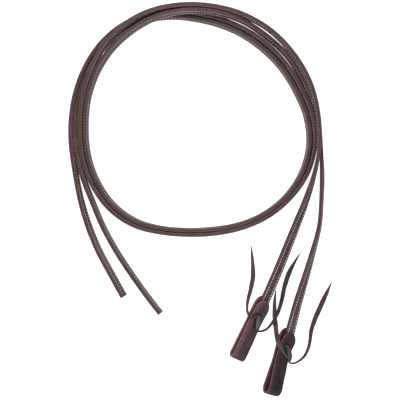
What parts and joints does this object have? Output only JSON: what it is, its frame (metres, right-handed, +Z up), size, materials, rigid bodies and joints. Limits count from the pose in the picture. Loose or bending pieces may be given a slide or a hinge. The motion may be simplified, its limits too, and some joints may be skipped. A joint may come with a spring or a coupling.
{
  "type": "pair of split reins",
  "caption": "Pair of coiled western split reins in two-ply stitched harness leather, each with a laced water loop that ties onto a bit ring.",
  "frame": {"origin": "centre of the coiled reins' box, on the floor they lie on", "axes": "+Y from the water loops towards the coil, along the longest side; +X to the right seen from above; +Z up off the floor"},
  "size_m": [0.4357, 0.6508, 0.0352],
  "materials": {
    "rein_leather_face": "satin dark oil harness leather, burnished edges",
    "rein_leather_back": "satin harness leather, slightly lighter",
    "waxed_thread": "waxed thread, greyish tan",
    "water_loop_leather_1": "dark oiled latigo with raw tan edges",
    "water_loop_leather_2": "dark oiled latigo with raw tan edges",
    "latigo_lace": "dark red-brown latigo lace"
  },
  "bodies": {
    "coil": {"rein_1_coil_outer_ply": "rein_leather_face", "rein_1_coil_inner_ply": "rein_leather_back", "rein_1_coil_stitching": "waxed_thread", "rein_2_coil_outer_ply": "rein_leather_face", "rein_2_coil_inner_ply": "rein_leather_back", "rein_2_coil_stitching": "waxed_thread"},
    "rein_1_tail": {"rein_1_tail_outer_ply": "rein_leather_face", "rein_1_tail_inner_ply": "rein_leather_back", "rein_1_tail_stitching": "waxed_thread"},
    "rein_1_drop_upper": {"rein_1_drop_upper_outer_ply": "rein_leather_face", "rein_1_drop_upper_inner_ply": "rein_leather_back", "rein_1_drop_upper_stitching": "waxed_thread"},
    "rein_1_drop_lower": {"rein_1_drop_lower_outer_ply": "rein_leather_face", "rein_1_drop_lower_inner_ply": "rein_leather_back", "rein_1_drop_lower_stitching": "waxed_thread", "water_loop_1_front_leg": "water_loop_leather_1", "water_loop_1_back_leg": "water_loop_leather_1", "lace_1_knot": "latigo_lace"},
    "water_loop_1_eye": {"water_loop_1_eye": "water_loop_leather_1"},
    "lace_1_left_tail": {"lace_1_left_tail": "latigo_lace"},
    "lace_1_right_tail": {"lace_1_right_tail": "latigo_lace"},
    "rein_2_tail": {"rein_2_tail_outer_ply": "rein_leather_face", "rein_2_tail_inner_ply": "rein_leather_back", "rein_2_tail_stitching": "waxed_thread"},
    "rein_2_drop_upper": {"rein_2_drop_upper_outer_ply": "rein_leather_face", "rein_2_drop_upper_inner_ply": "rein_leather_back", "rein_2_drop_upper_stitching": "waxed_thread"},
    "rein_2_drop_lower": {"rein_2_drop_lower_outer_ply": "rein_leather_face", "rein_2_drop_lower_inner_ply": "rein_leather_back", "rein_2_drop_lower_stitching": "waxed_thread", "water_loop_2_front_leg": "water_loop_leather_2", "water_loop_2_back_leg": "water_loop_leather_2", "lace_2_knot": "latigo_lace", "lace_2_left_lead": "latigo_lace"},
    "water_loop_2_eye": {"water_loop_2_eye": "water_loop_leather_2"},
    "lace_2_left_tail": {"lace_2_left_tail": "latigo_lace"},
    "lace_2_right_tail": {"lace_2_right_tail": "latigo_lace"}
  },
  "joints": [
    {"name": "rein_1_tail_swing", "type": "hinge", "parent": "coil", "child": "rein_1_tail", "pos_m": [-0.19986, 0.01357, 0.00857], "axis": [0, 0, 1], "range_deg": [-25, 3]},
    {"name": "rein_2_tail_swing", "type": "hinge", "parent": "coil", "child": "rein_2_tail", "pos_m": [-0.18394, 0.01194, 0.00853], "axis": [0, 0, 1], "range_deg": [-2, 8]},
    {"name": "rein_1_drop_swing", "type": "hinge", "parent": "coil", "child": "rein_1_drop_upper", "pos_m": [0.18431, 0.02746, 0.02383], "axis": [0, 0, 1], "range_deg": [-5, 0]},
    {"name": "rein_1_drop_lift", "type": "hinge", "parent": "rein_1_drop_upper", "child": "rein_1_drop_lower", "pos_m": [0.14769, -0.06995, 0.01252], "axis": [-0.6996, 0.2798, 0.6575], "range_deg": [0, 30]},
    {"name": "rein_2_drop_swing", "type": "hinge", "parent": "coil", "child": "rein_2_drop_upper", "pos_m": [0.20111, 0.02078, 0.00834], "axis": [0, 0, 1], "range_deg": [0, 20]},
    {"name": "rein_2_drop_curl", "type": "hinge", "parent": "rein_2_drop_upper", "child": "rein_2_drop_lower", "pos_m": [0.19606, -0.04735, 0.00837], "axis": [0, 0, 1], "range_deg": [0, 12]},
    {"name": "water_loop_1_flex", "type": "hinge", "parent": "rein_1_drop_lower", "child": "water_loop_1_eye", "pos_m": [0.08107, -0.22065, 0.0132], "axis": [-0.8042, 0.3836, 0.454], "range_deg": [-15, 20]},
    {"name": "water_loop_2_flex", "type": "hinge", "parent": "rein_2_drop_lower", "child": "water_loop_2_eye", "pos_m": [0.13217, -0.27715, 0.0148], "axis": [-0.8349, 0.23, 0.5], "range_deg": [-15, 20]},
    {"name": "lace_1_left_lift", "type": "hinge", "parent": "rein_1_drop_lower", "child": "lace_1_left_tail", "pos_m": [0.0929, -0.1912, 0.0244], "axis": [0.4305, 0.9026, 0], "range_deg": [0, 35]},
    {"name": "lace_1_right_lift", "type": "hinge", "parent": "rein_1_drop_lower", "child": "lace_1_right_tail", "pos_m": [0.0963, -0.2177, 0.0166], "axis": [-0.4305, -0.9026, 0], "range_deg": [0, 35]},
    {"name": "lace_2_left_swing", "type": "hinge", "parent": "rein_2_drop_lower", "child": "lace_2_left_tail", "pos_m": [0.124, -0.20439, 0.00495], "axis": [0, 0, -1], "range_deg": [0, 12]},
    {"name": "lace_2_right_lift", "type": "hinge", "parent": "rein_2_drop_lower", "child": "lace_2_right_tail", "pos_m": [0.1483, -0.2695, 0.0154], "axis": [-0.2656, -0.9641, 0], "range_deg": [0, 35]}
  ]
}
